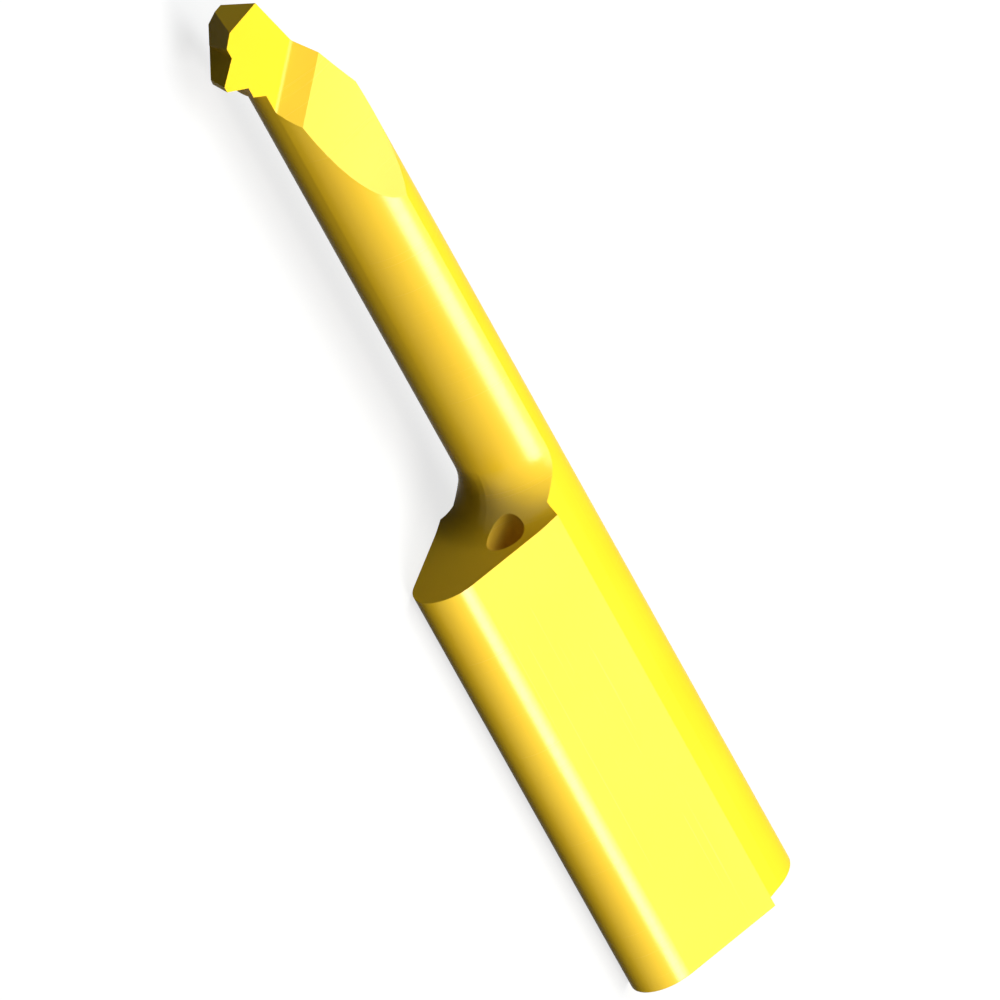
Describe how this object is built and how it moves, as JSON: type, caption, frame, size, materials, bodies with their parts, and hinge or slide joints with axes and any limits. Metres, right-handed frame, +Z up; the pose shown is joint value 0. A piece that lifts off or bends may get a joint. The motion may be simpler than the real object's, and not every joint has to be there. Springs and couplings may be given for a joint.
{
  "type": "internal threading bar",
  "caption": "Solid carbide bar for turning internal threads, with a drop-shaped shank, an offset round neck, a thread-form tooth at the tip and a coolant hole",
  "frame": {"origin": "the middle of the lower flat of the shank, on which the bar lies", "axes": "+X along the bar to the cutting tip, +Y to the shank's narrow side, +Z up from the lower flat"},
  "size_m": [0.0446, 0.009, 0.006],
  "materials": {
    "coated_carbide": "ground, gold hard coating"
  },
  "bodies": {
    "root": {"threading_bar": "coated_carbide"}
  },
  "joints": []
}
